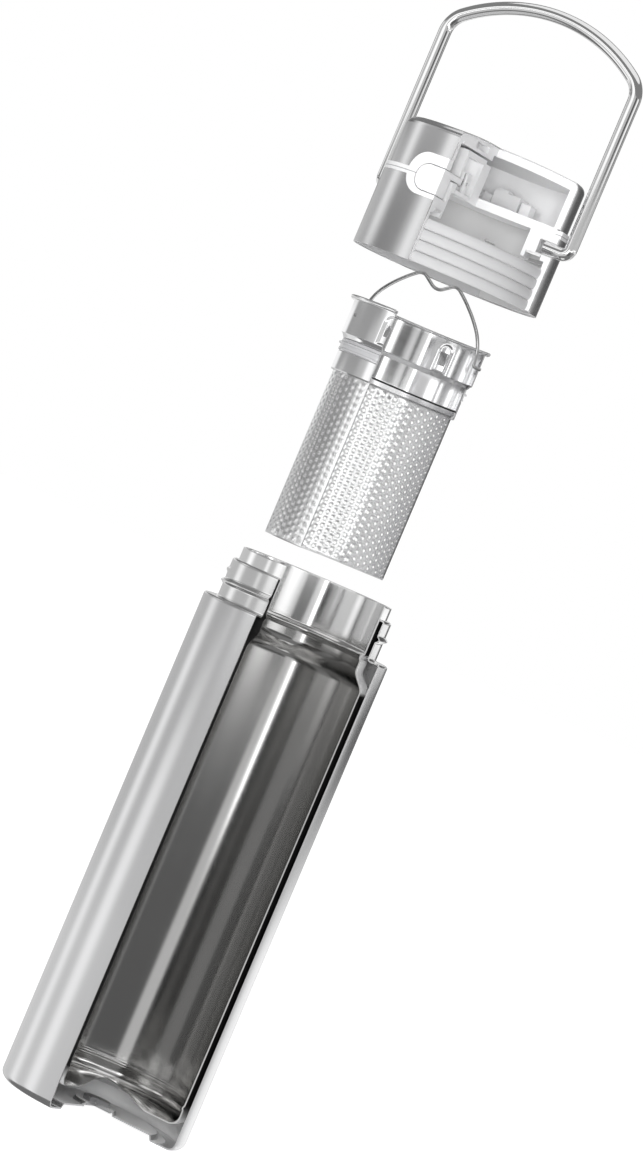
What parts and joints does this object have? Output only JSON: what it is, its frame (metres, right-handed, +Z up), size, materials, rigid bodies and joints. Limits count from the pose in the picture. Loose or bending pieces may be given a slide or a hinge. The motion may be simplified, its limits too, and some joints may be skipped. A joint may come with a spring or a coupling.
{
  "type": "thermal teapot",
  "caption": "Double-walled steel flask with a lift-out perforated tea infuser and a screw lid with press button and swing handle, drawn apart and cut open at the front right.",
  "frame": {"origin": "centre of the flask's base, on the surface that it stands on", "axes": "+Z up the flask's axis, -Y towards the button side, +X to the right seen from the front"},
  "size_m": [0.0822, 0.07, 0.4209],
  "materials": {
    "brushed_steel": "satin stainless steel, brushed round the axis",
    "vessel_steel": "polished stainless steel, dark",
    "polished_steel": "polished stainless steel",
    "wire_steel": "polished stainless wire",
    "bush_steel": "dark turned steel",
    "white_plastic": "white moulded polypropylene, satin",
    "silicone": "milky silicone, matte",
    "seal_metal": "plain"
  },
  "bodies": {
    "flask": {"outer_shell": "brushed_steel", "base_cap": "brushed_steel", "neck_ring": "brushed_steel", "inner_vessel": "vessel_steel", "vacuum_seal": "seal_metal", "getter": "seal_metal"},
    "infuser": {"infuser_collar": "polished_steel", "infuser_seal": "silicone", "lower_ring": "polished_steel", "infuser_basket": "polished_steel", "basket_floor": "polished_steel"},
    "bail": {"infuser_bail": "wire_steel"},
    "gasket": {"lid_gasket": "silicone"},
    "lid": {"lid_core": "white_plastic", "lid_sleeve": "brushed_steel", "trim_ring": "white_plastic", "lid_cap": "brushed_steel", "lid_liner": "white_plastic", "valve_housing": "white_plastic", "air_valve_body": "white_plastic", "air_valve_cap": "silicone", "pivot_bushes": "bush_steel", "button_spring": "wire_steel"},
    "button": {"front_button": "white_plastic", "button_slider": "white_plastic"},
    "valve": {"valve_plug": "white_plastic", "valve_seal": "silicone", "cam_pin": "wire_steel"},
    "handle": {"handle": "wire_steel"}
  },
  "joints": [
    {"name": "infuser_lift", "type": "slide", "parent": "flask", "child": "infuser", "axis": [0, 0, 1], "range_m": [-0.095, 0]},
    {"name": "bail_fold", "type": "hinge", "parent": "infuser", "child": "bail", "pos_m": [0, 0, 0.2945], "axis": [-0.6561, -0.7547, 0], "range_deg": [0, 82.5]},
    {"name": "lid_lift", "type": "slide", "parent": "infuser", "child": "gasket", "axis": [0, 0, 1], "range_m": [-0.0368, 0]},
    {"name": "lid_turn", "type": "hinge", "parent": "gasket", "child": "lid", "pos_m": [0, 0, 0.33], "axis": [0, 0, 1], "range_deg": [-360, 0]},
    {"name": "handle_swing", "type": "hinge", "parent": "lid", "child": "handle", "pos_m": [0, 0, 0.3417], "axis": [1, 0, 0], "range_deg": [-140, 140]},
    {"name": "button_press", "type": "slide", "parent": "lid", "child": "button", "axis": [0, 1, 0], "range_m": [0, 0.0025], "stiffness_N_per_m": 500, "springref_m": -0.003, "deforming": ["button_spring"]},
    {"name": "valve_slide", "type": "slide", "parent": "lid", "child": "valve", "axis": [0, 0, 1], "range_m": [0, 0.002]}
  ],
  "couplings": [
    {"joint": "bail_fold", "follows": "lid_lift", "rad_per_m": -38.89},
    {"joint": "valve_slide", "follows": "button_press", "ratio": 0.8}
  ]
}
